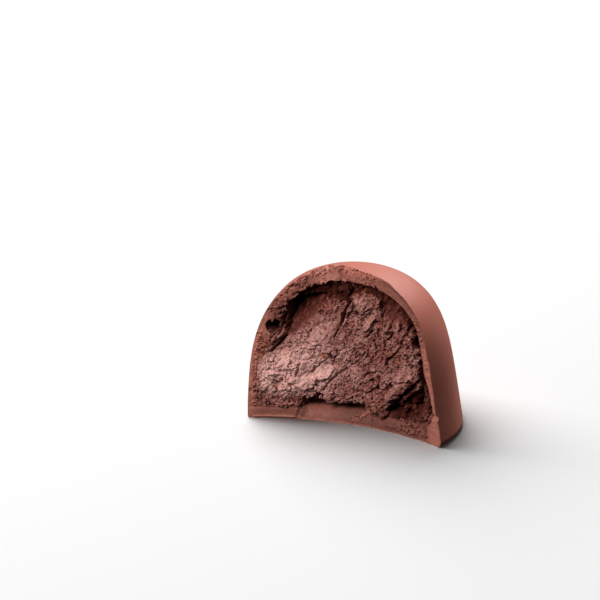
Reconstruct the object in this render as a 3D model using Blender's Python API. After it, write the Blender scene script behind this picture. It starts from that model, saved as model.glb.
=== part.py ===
"""A moulded chocolate truffle with its front bitten off: a chocolate shell with a flat floor, and
the crumbly filling that it holds.

The truffle stands on its floor. The origin is on the axis of the dome, where it meets the table,
+Z is up and the bite faces -Y. All sizes are in metres.
"""

import math

import bmesh
import bpy
from mathutils import Vector, noise

MM = 0.001

# The moulded dome. Its wall leans in, and turns over into a rounded crown.
BASE_RADIUS = 18.0 * MM
HEIGHT = 26.2 * MM
WALL_LEAN = 0.24  # share of its radius that the wall loses by the full height
SHOULDER_POWER = 5.8  # a higher power keeps the wall straight for longer
CROWN_POWER = 0.45  # 0.5 gives a round crown, and less a flatter one
FOOT_ROUNDING = 1.1 * MM

# What the shell leaves inside. The wall is thinner at the foot than at the crown.
WALL_AT_FOOT = 1.4 * MM
WALL_AT_CROWN = 1.9 * MM
CAVITY_LEAN = 0.275
FLOOR = 2.0 * MM
CAVITY_CORNER = 1.4 * MM
CLEARANCE = 0.3 * MM  # between the shell and the filling

# The bite squeezed the shell's left side out a little, from above the foot to the shoulder, and
# scraped its foot upright. The cavity went further, so that the wall is thin there.
SQUEEZE_HEIGHTS = (4.2 * MM, 21.5 * MM)
SQUEEZE_SIDE = (6.0 * MM, 15.0 * MM)  # it grows from the first of these distances to the second
SHELL_SQUEEZE = 0.6 * MM
CAVITY_SQUEEZE = 1.0 * MM
SCRAPED_RADIUS = 17.35 * MM

# The bite is an upright round cut. Seen from above, its edge is an arc.
BITE_RADIUS = 40.0 * MM
BITE_REACH = -1.7 * MM  # where the middle of the arc lies, in front of the axis
BITE_FRONT = -22.0 * MM  # the cutters run from the bite out to here

# How finely the solids are made
SHELL_SEGMENTS = 80
FILLING_SEGMENTS = 56
SHELL_RINGS = 20
CAVITY_RINGS = 14
CORNER_STEPS = 4
SHELL_CELL = 0.8 * MM
FILLING_CELL = 0.58 * MM

SHELL_COLOUR = (0.22, 0.085, 0.060, 1.0)
FILLING_COLOUR = (0.235, 0.115, 0.095, 1.0)


def clear_scene():
    """Empties the scene that Blender starts with."""
    for obj in list(bpy.data.objects):
        bpy.data.objects.remove(obj, do_unlink=True)


def chocolate(name, colour, roughness):
    """A plain chocolate material."""
    material = bpy.data.materials.new(name)
    material.use_nodes = True
    shader = material.node_tree.nodes["Principled BSDF"]
    shader.inputs["Base Color"].default_value = colour
    shader.inputs["Roughness"].default_value = roughness
    shader.inputs["Metallic"].default_value = 0.0
    material.diffuse_color = colour
    return material


def smoothstep(low, high, value):
    """0 below low, 1 above high, and a smooth rise between them."""
    share = min(1.0, max(0.0, (value - low) / (high - low)))
    return share * share * (3.0 - 2.0 * share)


# The turned bodies


def dome_radius(z, radius, height, lean):
    """Radius, at the height z, of a dome of this base radius, height and lean."""
    share = min(1.0, max(0.0, z / height))
    return radius * (1.0 - lean * share) * (1.0 - share**SHOULDER_POWER) ** CROWN_POWER


def dome_profile(radius, height, lean, bottom, corner, rings):
    """Half of a dome's upright section, as (radius, height) from its flat bottom to its crown.

    The section starts at the height bottom, where an arc of radius corner rounds its edge.
    """
    profile = [(0.0, bottom)]
    for step in range(CORNER_STEPS + 1):
        angle = 0.5 * math.pi * step / CORNER_STEPS
        z = bottom + corner * (1.0 - math.cos(angle))
        inset = corner * (1.0 - math.sin(angle))
        profile.append((dome_radius(z, radius, height, lean) - inset, z))
    start = math.asin((bottom + corner) / height)
    for ring in range(1, rings):
        angle = start + (0.5 * math.pi - start) * ring / rings
        z = height * math.sin(angle)
        profile.append((dome_radius(z, radius, height, lean), z))
    profile.append((0.0, height))
    return profile


def inner_profile(gap):
    """Half of the upright section of the space inside the shell, drawn in by gap all round."""
    return dome_profile(
        BASE_RADIUS - WALL_AT_FOOT - gap,
        HEIGHT - WALL_AT_CROWN - gap,
        CAVITY_LEAN,
        FLOOR + gap,
        CAVITY_CORNER,
        CAVITY_RINGS,
    )


def squeeze(point, amount, widest):
    """Moves a point of a turned body out by its share of the squeeze, or in to the widest radius."""
    share = smoothstep(*SQUEEZE_SIDE, -point.x)
    low, high = SQUEEZE_HEIGHTS
    height = min(1.0, max(0.0, (point.z - low) / (high - low)))
    radius = math.hypot(point.x, point.y)
    if share == 0.0 or radius == 0.0:
        return
    pushed = radius + amount * share * math.sin(math.pi * height)
    target = min(pushed, BASE_RADIUS + share * (widest - BASE_RADIUS))
    point.x *= target / radius
    point.y *= target / radius


def turned(name, profile, segments, material, squeezed, widest=BASE_RADIUS):
    """A solid turned round the Z axis from a profile that starts and ends on the axis.

    squeezed is how far its left side is pushed out, and widest the most that its radius may be
    there.
    """
    shape = bmesh.new()
    points = [shape.verts.new((r, 0.0, z)) for r, z in profile]
    edges = [shape.edges.new(pair) for pair in zip(points, points[1:])]
    bmesh.ops.spin(
        shape,
        geom=points + edges,
        cent=(0.0, 0.0, 0.0),
        axis=(0.0, 0.0, 1.0),
        angle=2.0 * math.pi,
        steps=segments,
        use_merge=True,
    )
    bmesh.ops.remove_doubles(shape, verts=shape.verts, dist=0.01 * MM)
    bmesh.ops.recalc_face_normals(shape, faces=shape.faces)
    for vert in shape.verts:
        squeeze(vert.co, squeezed, widest)
    return linked(name, shape, material)


def linked(name, shape, material):
    """The bmesh as a named object in the scene."""
    mesh = bpy.data.meshes.new(name)
    shape.to_mesh(mesh)
    shape.free()
    if material:
        mesh.materials.append(material)
    obj = bpy.data.objects.new(name, mesh)
    bpy.context.scene.collection.objects.link(obj)
    return obj


# The bitten face. Each function gives a depth behind the bite's arc, so more is further back.


def bite_arc(x):
    """Where the bite's arc lies at x, as a Y."""
    return BITE_REACH - (BITE_RADIUS - math.sqrt(BITE_RADIUS**2 - x * x))


def oval(x, z, middle, size, tilt):
    """1 in the middle of a tilted oval, falling smoothly to 0 well outside it.

    middle and size are (across, up) in millimetres, and tilt is in degrees, anticlockwise as the
    bite is seen.
    """
    across = x / MM - middle[0]
    up = z / MM - middle[1]
    turn = math.radians(tilt)
    along = (across * math.cos(turn) + up * math.sin(turn)) / size[0]
    over = (up * math.cos(turn) - across * math.sin(turn)) / size[1]
    return math.exp(-((along * along + over * over) ** 1.5))


def groove(x, z, points, width):
    """1 on a line of points, falling to 0 at width from it. All in millimetres."""
    here = Vector((x / MM, z / MM))
    nearest = math.inf
    for start, end in zip(points, points[1:]):
        first = Vector(start)
        run = Vector(end) - first
        share = min(1.0, max(0.0, (here - first).dot(run) / run.length_squared))
        nearest = min(nearest, (here - first - run * share).length)
    return 1.0 - smoothstep(0.0, width, nearest)


def crumble(x, z, grain, seed):
    """Uneven ground from -1 to 1, whose lumps are about grain across."""
    return noise.fractal(Vector((x / grain, z / grain, seed)), 0.6, 2.1, 3)


# (middle, size, tilt, depth in millimetres): hollows behind the arc, and lumps in front of it
HOLLOWS = (
    ((-8.8, 20.4), (4.6, 2.6), 40.0, 4.2),  # under the shell's left shoulder
    ((-1.0, 24.0), (7.0, 1.9), 3.0, 3.2),  # under the crown
    ((7.9, 21.6), (4.8, 2.3), -40.0, 2.8),  # under the right shoulder
    ((9.8, 4.3), (4.0, 2.0), 16.0, 3.2),  # torn out at the lower right
    ((-12.9, 16.2), (1.3, 1.6), 20.0, 3.2),  # bubble at the left wall
    ((11.7, 16.5), (0.9, 1.6), 0.0, 2.4),  # bubble at the right wall
    ((-3.1, 11.1), (1.0, 1.1), 40.0, 0.9),
)
LUMPS = (
    ((-10.5, 8.0), (5.0, 4.6), 0.0, 1.3),
    ((-5.6, 7.8), (3.6, 1.7), 38.0, 0.8),
    ((-4.8, 14.2), (3.4, 2.8), 20.0, 0.8),
    ((2.9, 18.4), (1.2, 2.6), -28.0, 0.9),
    ((8.6, 10.6), (3.6, 1.9), 30.0, 0.9),
    ((7.2, 7.2), (2.4, 1.3), 30.0, 0.7),
    ((11.2, 14.2), (1.4, 1.1), 20.0, 0.8),
    ((2.2, 8.6), (2.6, 2.0), 0.0, 0.5),
)
# (points, width, depth in millimetres): cracks in the filling
CRACKS = (
    (((0.0, 22.6), (-0.8, 20.2), (-1.4, 18.2), (-1.5, 16.6), (-2.5, 15.4)), 1.3, 1.5),
    (((12.3, 13.2), (13.2, 10.2), (14.1, 7.6), (14.6, 5.2)), 1.6, 2.6),
    (((12.2, 9.8), (10.7, 8.1), (9.3, 6.6), (8.2, 5.2)), 1.2, 1.3),
    (((-12.8, 12.2), (-11.2, 14.3), (-9.7, 15.9)), 1.2, 1.1),
)
# The filling is pulled off the floor along the middle of the bite
UNDERCUT_TOP = 4.5 * MM
UNDERCUT_FADE = 0.9 * MM
UNDERCUT_ENDS = (-8.2 * MM, 13.6 * MM)
UNDERCUT_DEPTH = 3.2 * MM
UNDERCUT_RAGGED = 0.5 * MM

FILLING_GRAIN = 2.1 * MM
FILLING_ROUGHNESS = 0.42 * MM

# The shell snapped further back over the crown, and stands proud at the left shoulder
NOTCH_MIDDLE = -5.0 * MM
NOTCH_WIDTHS = (3.2 * MM, 5.0 * MM)  # to its left and to its right
NOTCH_DEPTH = 3.3 * MM
NOTCH_HEIGHTS = (22.4 * MM, 25.6 * MM)
PROUD_SHOULDER = ((-11.6, 20.6), (2.6, 2.4), 0.0, 1.1)
FLOOR_CHIP = 1.1 * MM  # how far the floor's upper edge has crumbled back, between these ends
FLOOR_CHIP_ENDS = (-8.0 * MM, 13.5 * MM)
SHELL_GRAIN = 1.6 * MM
SHELL_ROUGHNESS = 0.22 * MM


def relief(x, z, ovals):
    """The sum of a list of ovals at this place, in metres."""
    return sum(oval(x, z, middle, size, tilt) * depth for middle, size, tilt, depth in ovals) * MM


def between(ends, x):
    """1 between two places across the bite, with a smooth fall to 0 past each."""
    left, right = ends
    return smoothstep(left - MM, left + MM, x) * (1.0 - smoothstep(right - MM, right + MM, x))


def undercut(x, z):
    """How far the foot of the filling is torn back, in metres."""
    ragged = UNDERCUT_RAGGED * crumble(x, z, 1.5 * MM, 7.0)
    below = 1.0 - smoothstep(UNDERCUT_TOP - UNDERCUT_FADE, UNDERCUT_TOP, z + ragged)
    return UNDERCUT_DEPTH * below * between(UNDERCUT_ENDS, x)


def filling_face(x, z):
    """The torn face of the filling, as a Y."""
    depth = relief(x, z, HOLLOWS) - relief(x, z, LUMPS) + undercut(x, z)
    for points, width, cut in CRACKS:
        depth += groove(x, z, points, width) * cut * MM
    depth += FILLING_ROUGHNESS * (1.0 + crumble(x, z, FILLING_GRAIN, 3.0))
    return bite_arc(x) + depth


def shell_face(x, z):
    """The snapped edge of the shell, as a Y."""
    away = x - NOTCH_MIDDLE
    width = NOTCH_WIDTHS[0] if away < 0.0 else NOTCH_WIDTHS[1]
    notch = NOTCH_DEPTH * math.exp(-((away / width) ** 2)) * smoothstep(*NOTCH_HEIGHTS, z)
    chip = FLOOR_CHIP * smoothstep(0.5 * FLOOR, FLOOR, z) * between(FLOOR_CHIP_ENDS, x)
    crags = SHELL_ROUGHNESS * crumble(x, z, SHELL_GRAIN, 11.0)
    return bite_arc(x) + notch + chip + crags - relief(x, z, (PROUD_SHOULDER,))


def bite_cutter(name, face, cell):
    """A block that fills the bite: its back follows face(x, z), and its front is flat.

    Its sides stand a few millimetres clear of the truffle all round.
    """
    side = BASE_RADIUS + 3.0 * MM
    low, high = -2.0 * MM, HEIGHT + 2.0 * MM
    shape = bmesh.new()
    bmesh.ops.create_grid(
        shape,
        x_segments=round(2.0 * side / cell),
        y_segments=round((high - low) / cell),
        size=1.0,
    )
    for vert in shape.verts:
        x = vert.co.x * side
        z = low + (high - low) * (vert.co.y + 1.0) / 2.0
        vert.co = (x, face(x, z), z)
    extruded = bmesh.ops.extrude_face_region(shape, geom=shape.faces[:])
    for item in extruded["geom"]:
        if isinstance(item, bmesh.types.BMVert):
            item.co.y = BITE_FRONT
    bmesh.ops.recalc_face_normals(shape, faces=shape.faces)
    cutter = linked(name, shape, None)
    cutter.hide_render = True
    cutter.display_type = "WIRE"
    return cutter


def cut_away(obj, cutter):
    """Cuts one object's shape out of another with a live modifier."""
    modifier = obj.modifiers.new("less_" + cutter.name, "BOOLEAN")
    modifier.operation = "DIFFERENCE"
    modifier.solver = "EXACT"
    modifier.object = cutter


def build_shell():
    """The chocolate shell: dome and floor in one, open at the bite."""
    material = chocolate("shell_chocolate", SHELL_COLOUR, 0.42)
    outside = dome_profile(BASE_RADIUS, HEIGHT, WALL_LEAN, 0.0, FOOT_ROUNDING, SHELL_RINGS)
    shell = turned("shell", outside, SHELL_SEGMENTS, material, SHELL_SQUEEZE, SCRAPED_RADIUS)
    cavity = turned("cavity", inner_profile(0.0), FILLING_SEGMENTS, None, CAVITY_SQUEEZE)
    cavity.hide_render = True
    cavity.display_type = "WIRE"
    cut_away(shell, cavity)
    cut_away(shell, bite_cutter("shell_bite", shell_face, SHELL_CELL))
    return shell


def build_filling():
    """The filling: it fills the cavity behind the bite, and its torn face shows."""
    material = chocolate("filling_ganache", FILLING_COLOUR, 0.7)
    body = inner_profile(CLEARANCE)
    filling = turned("filling", body, FILLING_SEGMENTS, material, CAVITY_SQUEEZE)
    cut_away(filling, bite_cutter("filling_bite", filling_face, FILLING_CELL))
    return filling


clear_scene()
build_shell()
build_filling()
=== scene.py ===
"""A bitten chocolate truffle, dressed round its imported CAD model.

The shell and the filling are remade here at a finer grain than the CAD solids, from the same
form: a moulded dome, an upright round bite, a snapped edge and a torn filling. Loose crumbs lie
on both. Lengths are in millimetres until a mesh is finished. The bite's face is laid out flat,
with x across it, z up it and depth behind the round cut.
"""

from __future__ import annotations

import logging
import math
import random
from dataclasses import dataclass
from enum import Enum
from typing import Callable, Sequence

import bmesh
import bpy
import numpy as np
from mathutils import Matrix, Vector, noise


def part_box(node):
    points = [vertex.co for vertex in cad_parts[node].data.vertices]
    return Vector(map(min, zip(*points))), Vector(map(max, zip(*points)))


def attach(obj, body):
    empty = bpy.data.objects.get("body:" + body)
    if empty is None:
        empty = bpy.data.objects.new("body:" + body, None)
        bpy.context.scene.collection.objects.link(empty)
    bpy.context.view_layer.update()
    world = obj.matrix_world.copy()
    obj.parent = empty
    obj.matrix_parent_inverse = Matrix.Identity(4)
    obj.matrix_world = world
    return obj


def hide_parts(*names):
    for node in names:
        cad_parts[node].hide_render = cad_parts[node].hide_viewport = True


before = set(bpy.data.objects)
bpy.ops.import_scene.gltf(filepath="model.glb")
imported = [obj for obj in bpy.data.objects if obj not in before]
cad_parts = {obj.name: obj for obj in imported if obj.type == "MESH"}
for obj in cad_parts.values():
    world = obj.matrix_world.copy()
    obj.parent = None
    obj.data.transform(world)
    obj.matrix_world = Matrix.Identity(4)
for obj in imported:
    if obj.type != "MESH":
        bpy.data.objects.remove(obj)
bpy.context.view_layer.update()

LOG = logging.getLogger("truffle")
MM = 0.001

Numbers = np.ndarray
Place = tuple[float, float]
Span = tuple[float, float]


# Shapes of ground, all in millimetres


def smoothstep(low: float, high: float, value: Numbers) -> Numbers:
    """Rises smoothly from 0 at low to 1 at high.

    Args:
        low: where the rise starts.
        high: where it ends.
        value: what is judged.

    Returns:
        The share of the rise, from 0 to 1.
    """
    share = np.clip((value - low) / (high - low), 0.0, 1.0)
    return share * share * (3.0 - 2.0 * share)


def between(ends: Span, edge: float, value: Numbers) -> Numbers:
    """1 between two ends, with a smooth fall to 0 over the width edge on each side of them."""
    low, high = ends
    rise = smoothstep(low - edge, low + edge, value)
    return rise * (1.0 - smoothstep(high - edge, high + edge, value))


def turned(x: Numbers, z: Numbers, tilt: float) -> tuple[Numbers, Numbers]:
    """Places along and across a line that leans tilt degrees."""
    turn = math.radians(tilt)
    return x * math.cos(turn) + z * math.sin(turn), z * math.cos(turn) - x * math.sin(turn)


@dataclass(frozen=True)
class Grain:
    """A pattern of noise, which may be stretched along a tilt."""

    size: float
    seed: float
    tilt: float = 0.0
    stretch: float = 1.0

    def sampled(
        self,
        sample: Callable[[Vector], float | tuple[float, float]],
        x: Numbers,
        z: Numbers,
    ) -> Numbers:
        """Reads a noise function over a sheet of places.

        Args:
            sample: the noise function, which takes places in grains.
            x: places across.
            z: places up.

        Returns:
            What it gives at each place.
        """
        along, over = turned(x, z, self.tilt)
        along, over = along / self.stretch / self.size, over / self.size
        places = zip(along.ravel().tolist(), over.ravel().tolist())
        values = np.array([sample(Vector((a, b, self.seed))) for a, b in places])
        return values.reshape(x.shape + values.shape[1:])


@dataclass(frozen=True)
class Ripple(Grain):
    """Uneven ground, whose lumps are about a grain across."""

    height: float = 1.0
    octaves: int = 3
    fade: float = 0.7
    finer: float = 2.1

    def swing(self, place: Vector) -> float:
        """The noise at one place, from about -1 to 1."""
        return noise.fractal(place, self.fade, self.finer, self.octaves)

    def ground(self, x: Numbers, z: Numbers) -> Numbers:
        """Its depth at each place, from about -height to height."""
        return self.height * self.sampled(self.swing, x, z)


@dataclass(frozen=True)
class Creases(Ripple):
    """Thin wandering lines, which run where a ripple crosses its middle."""

    width: float = 0.07

    def share(self, x: Numbers, z: Numbers) -> Numbers:
        """1 on a line, falling to 0 beside it."""
        return 1.0 - smoothstep(0.0, self.width, np.abs(self.ground(x, z)))


@dataclass(frozen=True)
class Pits(Grain):
    """Small round holes of differing sizes, at most one in each grain."""

    busy: float = 1.0
    depth: float = 1.0
    sizes: Span = (0.20, 0.50)
    spread: float = 0.6
    lip: Span = (0.35, 1.0)
    shuffle: float = 9.7

    def nearest(self, place: Vector) -> tuple[float, float]:
        """The distance to the nearest grain's middle, and that grain's luck, from 0 to 1."""
        distances, middles = noise.voronoi(place)
        return distances[0], 0.5 + 0.5 * noise.cell(middles[0] * self.shuffle)

    def share(self, x: Numbers, z: Numbers, rough: Numbers) -> Numbers:
        """How far each place is inside a hole.

        Args:
            x: places across.
            z: places up.
            rough: 0 where there are no holes, and 1 where there are the most.

        Returns:
            1 in the middle of a hole, and 0 outside it.
        """
        away, luck = np.moveaxis(self.sampled(self.nearest, x, z), -1, 0)
        smallest, largest = self.sizes
        size = np.clip(smallest + self.spread * (self.busy * rough - luck), 0.0, largest)
        hole = 1.0 - smoothstep(*self.lip, away / np.maximum(size, 0.001))
        return np.where(size > smallest, hole, 0.0)

    def ground(self, x: Numbers, z: Numbers, rough: Numbers) -> Numbers:
        """Its depth at each place."""
        return self.depth * self.share(x, z, rough)


@dataclass(frozen=True)
class Border:
    """A line across a face, given as heights at places across it."""

    points: Sequence[Place]

    def height(self, x: Numbers) -> Numbers:
        """How high the line is at x."""
        across, up = zip(*self.points)
        return np.interp(x, across, up)


@dataclass(frozen=True)
class Flake:
    """A smear with a crisp edge, proud along one side and sunk along the other."""

    middle: Place
    size: Place
    tilt: float
    proud: float
    side: float = 1.0
    crisp: Span = (0.82, 1.0)
    even: float = 0.55

    def share(self, x: Numbers, z: Numbers) -> Numbers:
        """1 on the flake, and 0 off it."""
        along, over = self.place(x, z)
        return 1.0 - smoothstep(*self.crisp, np.hypot(along, over))

    def ground(self, x: Numbers, z: Numbers) -> Numbers:
        """How far it stands out at each place, as a negative depth."""
        _, over = self.place(x, z)
        return -self.proud * self.share(x, z) * (self.even + (1.0 - self.even) * over)

    def place(self, x: Numbers, z: Numbers) -> tuple[Numbers, Numbers]:
        """Places along and across it, each 1 at its rim."""
        along, over = turned(x - self.middle[0], z - self.middle[1], self.tilt)
        return along / self.size[0], self.side * over / self.size[1]


@dataclass(frozen=True)
class Flakes:
    """Overlapping flakes, strewn over an area."""

    count: int
    lengths: Span
    slimness: Span
    tilts: Span
    proud: Span
    seed: int
    area: tuple[float, float, float, float] = (-16.0, 2.0, 15.0, 24.0)

    def ground(self, x: Numbers, z: Numbers) -> Numbers:
        """How far the uppermost flake stands out at each place, as a negative depth."""
        draw = random.Random(self.seed)
        top = np.zeros(x.shape)
        left, low, right, high = self.area
        for _ in range(self.count):
            middle = (draw.uniform(left, right), draw.uniform(low, high))
            length = draw.uniform(*self.lengths)
            size = (length, length * draw.uniform(*self.slimness))
            tilt, proud = draw.uniform(*self.tilts), draw.uniform(*self.proud)
            flake = Flake(middle, size, tilt, proud, draw.choice((-1.0, 1.0)))
            top = np.minimum(top, flake.ground(x, z))
        return top


@dataclass(frozen=True)
class Oval:
    """A hollow in a face, or a lump where its depth is negative."""

    middle: Place
    size: Place
    tilt: float = 0.0
    depth: float = 1.0
    steepness: float = 1.5

    def share(self, x: Numbers, z: Numbers) -> Numbers:
        """1 in the middle, falling to 0 outside, sooner where the steepness is high."""
        along, over = turned(x - self.middle[0], z - self.middle[1], self.tilt)
        along, over = along / self.size[0], over / self.size[1]
        return np.exp(-((along * along + over * over) ** self.steepness))

    def ground(self, x: Numbers, z: Numbers) -> Numbers:
        """Its depth at each place."""
        return self.depth * self.share(x, z)


@dataclass(frozen=True)
class Crack:
    """A crack along a line of points, or a raised strand where its depth is negative."""

    points: Sequence[Place]
    width: float
    depth: float = 1.0

    def share(self, x: Numbers, z: Numbers) -> Numbers:
        """1 on the line, falling to 0 at its width away, and narrower towards its ends."""
        nearest = np.full(x.shape, math.inf)
        for (x0, z0), (x1, z1) in zip(self.points, self.points[1:]):
            run, rise = x1 - x0, z1 - z0
            along = ((x - x0) * run + (z - z0) * rise) / (run * run + rise * rise)
            along = np.clip(along, 0.0, 1.0)
            nearest = np.minimum(nearest, np.hypot(x - x0 - run * along, z - z0 - rise * along))
        return 1.0 - smoothstep(0.0, self.width, nearest)

    def ground(self, x: Numbers, z: Numbers) -> Numbers:
        """Its depth at each place."""
        return self.depth * self.share(x, z)


Shape = Oval | Crack | Flake


def total(shapes: Sequence[Shape | Flakes | Ripple], x: Numbers, z: Numbers) -> Numbers:
    """The depths of several shapes added up."""
    return sum((shape.ground(x, z) for shape in shapes), np.zeros(x.shape))


def cover(shapes: Sequence[Shape], x: Numbers, z: Numbers) -> Numbers:
    """The largest share of several shapes at each place, whatever their depths."""
    return np.maximum.reduce([shape.share(x, z) for shape in shapes])


# The moulded form


@dataclass(frozen=True)
class DomeForm:
    """The upright section of a moulded dome, whose wall leans in and turns over at a crown."""

    radius: float
    height: float
    lean: float
    bottom: float
    corner: float
    shoulder_power: float = 5.8
    crown_power: float = 0.45

    def radius_at(self, z: float | Numbers) -> float | Numbers:
        """The dome's radius at the height z."""
        share = np.clip(z / self.height, 0.0, 1.0)
        shoulder = (1.0 - share**self.shoulder_power) ** self.crown_power
        return self.radius * (1.0 - self.lean * share) * shoulder

    def section(self, corner_steps: int, rings: int) -> list[tuple[float, float]]:
        """Half of its upright section.

        Args:
            corner_steps: how many steps round the edge of its bottom.
            rings: how many from there to its crown.

        Returns:
            (radius, height) from the middle of its bottom to its crown.
        """
        points = [(0.0, self.bottom)]
        for step in range(corner_steps + 1):
            angle = 0.5 * math.pi * step / corner_steps
            z = self.bottom + self.corner * (1.0 - math.cos(angle))
            inset = self.corner * (1.0 - math.sin(angle))
            points.append((self.radius_at(z) - inset, z))
        start = math.asin((self.bottom + self.corner) / self.height)
        for ring in range(1, rings):
            z = self.height * math.sin(start + (0.5 * math.pi - start) * ring / rings)
            points.append((self.radius_at(z), z))
        points.append((0.0, self.height))
        return points

    def turned(self, segments: int, corner_steps: int, rings: int) -> bmesh.types.BMesh:
        """The dome as a closed solid, turned round the Z axis."""
        shape = bmesh.new()
        section = self.section(corner_steps, rings)
        points = [shape.verts.new((r, 0.0, z)) for r, z in section]
        edges = [shape.edges.new(pair) for pair in zip(points, points[1:])]
        bmesh.ops.spin(
            shape,
            geom=points + edges,
            cent=(0.0, 0.0, 0.0),
            axis=(0.0, 0.0, 1.0),
            angle=2.0 * math.pi,
            steps=segments,
            use_merge=True,
        )
        bmesh.ops.remove_doubles(shape, verts=shape.verts, dist=0.001)
        bmesh.ops.recalc_face_normals(shape, faces=shape.faces)
        return shape


@dataclass(frozen=True)
class Squeeze:
    """How the bite pushed a turned body's left side out, and scraped its foot upright."""

    amount: float
    widest: float
    base_radius: float
    heights: Span = (4.2, 21.5)
    side: Span = (6.0, 15.0)
    blend: float = 0.14

    def apply(self, shape: bmesh.types.BMesh) -> None:
        """Moves the points of a turned body."""
        low, high = self.heights
        for vert in shape.verts:
            share = float(smoothstep(*self.side, -vert.co.x))
            radius = math.hypot(vert.co.x, vert.co.y)
            if share == 0.0 or radius == 0.0:
                continue
            rise = min(1.0, max(0.0, (vert.co.z - low) / (high - low)))
            pushed = radius + self.amount * share * math.sin(math.pi * rise)
            upright = self.base_radius + share * (self.widest - self.base_radius)
            target = 0.5 * (pushed + upright - math.hypot(pushed - upright, self.blend * share))
            vert.co.x *= target / radius
            vert.co.y *= target / radius


@dataclass(frozen=True)
class Bite:
    """The upright round cut that took the front off, as an arc seen from above."""

    radius: float = 40.0
    reach: float = -1.7
    front: float = -22.0

    def arc(self, x: Numbers) -> Numbers:
        """Where the arc lies at x, as a Y."""
        return self.reach - (self.radius - np.sqrt(self.radius**2 - x * x))

    def cutter(
        self,
        face: Callable[[Numbers, Numbers], Numbers],
        half_width: float,
        heights: Span,
        cell: float,
    ) -> bmesh.types.BMesh:
        """A block that fills the bite. Its back follows a face, and its front is flat.

        Args:
            face: the depth behind the arc at each x and z.
            half_width: how far it reaches to each side of the axis.
            heights: its bottom and its top.
            cell: the size of the squares that its back is made of.

        Returns:
            The closed block.
        """
        low, high = heights
        shape = bmesh.new()
        bmesh.ops.create_grid(
            shape,
            x_segments=round(2.0 * half_width / cell),
            y_segments=round((high - low) / cell),
            size=1.0,
        )
        x = np.array([vert.co.x * half_width for vert in shape.verts])
        z = np.array([low + (high - low) * (vert.co.y + 1.0) / 2.0 for vert in shape.verts])
        y = self.arc(x) + face(x, z)
        for vert, place in zip(shape.verts, zip(x.tolist(), y.tolist(), z.tolist())):
            vert.co = place
        extruded = bmesh.ops.extrude_face_region(shape, geom=shape.faces[:])
        for item in extruded["geom"]:
            if isinstance(item, bmesh.types.BMVert):
                item.co.y = self.front
        bmesh.ops.recalc_face_normals(shape, faces=shape.faces)
        return shape


# A tip of chocolate that hangs into the hole at the left.
HOLE_TIP = Oval((-12.7, 17.0), (0.30, 0.60), -6.0, 1.0, 4.0)


def beside_tip(x: Numbers, z: Numbers) -> Numbers:
    """1, falling to 0 on the tip that the hole in both pieces spares."""
    return 1.0 - HOLE_TIP.share(x, z)


# Making pieces


class Body(Enum):
    """The bodies of the CAD model."""

    ROOT = "root"


class Slot(Enum):
    """The record's material slots."""

    SHELL = "shell_chocolate"
    FILLING = "filling_ganache"


def as_object(name: str, shape: bmesh.types.BMesh, scale: float = 1.0) -> bpy.types.Object:
    """Puts a bmesh into the scene and frees it.

    Args:
        name: the object's name.
        shape: the bmesh.
        scale: metres in one of its units.

    Returns:
        The new object, at the origin.
    """
    bmesh.ops.scale(shape, vec=(scale, scale, scale), verts=shape.verts)
    mesh = bpy.data.meshes.new(name)
    shape.to_mesh(mesh)
    shape.free()
    obj = bpy.data.objects.new(name, mesh)
    bpy.context.scene.collection.objects.link(obj)
    return obj


def carve(name: str, body: bmesh.types.BMesh, cutters: Sequence[bmesh.types.BMesh]) -> bpy.types.Object:
    """Cuts closed shapes out of a closed body.

    Args:
        name: the name of the result.
        body: the body, in millimetres.
        cutters: what is cut away, in millimetres.

    Returns:
        The carved object, still in millimetres, with no modifiers left.
    """
    rough = as_object(name + "_rough", body)
    tools = [as_object(f"{name}_cutter_{index}", tool) for index, tool in enumerate(cutters)]
    for tool in tools:
        modifier = rough.modifiers.new(tool.name, "BOOLEAN")
        modifier.operation = "DIFFERENCE"
        modifier.solver = "MANIFOLD"
        modifier.object = tool
    depsgraph = bpy.context.evaluated_depsgraph_get()
    mesh = bpy.data.meshes.new_from_object(rough.evaluated_get(depsgraph))
    for obj in (rough, *tools):
        bpy.data.objects.remove(obj, do_unlink=True)
    mesh.name = name
    carved = bpy.data.objects.new(name, mesh)
    bpy.context.scene.collection.objects.link(carved)
    return carved


def corners_of(obj: bpy.types.Object) -> Numbers:
    """The places of an object's points, one row each."""
    flat = np.empty(len(obj.data.vertices) * 3)
    obj.data.vertices.foreach_get("co", flat)
    return flat.reshape(-1, 3)


def move_corners(obj: bpy.types.Object, places: Numbers) -> None:
    """Puts an object's points at new places."""
    obj.data.vertices.foreach_set("co", places.ravel())
    obj.data.update()


def paint(obj: bpy.types.Object, name: str, values: Numbers) -> None:
    """Gives each point of an object a number that its material can read."""
    layer = obj.data.attributes.new(name, "FLOAT", "POINT")
    layer.data.foreach_set("value", np.ascontiguousarray(values, dtype=np.float32))


def finish_piece(
    obj: bpy.types.Object,
    finish: bpy.types.Material,
    crease: float,
    colours: dict[str, Numbers],
) -> None:
    """Shades and paints a piece, gives it its material, and lets it ride with the model.

    Args:
        obj: the piece, in place and in metres.
        finish: its material.
        crease: edges sharper than this angle stay crisp, in degrees.
        colours: the numbers that its material reads, one for each point, by name.
    """
    for name, amounts in colours.items():
        paint(obj, name, amounts)
    obj.data.shade_smooth()
    obj.data.set_sharp_from_angle(angle=math.radians(crease))
    obj.data.materials.clear()
    obj.data.materials.append(finish)
    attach(obj, Body.ROOT.value)
    LOG.info("%s: %d points", obj.name, len(obj.data.vertices))


# Materials


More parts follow.
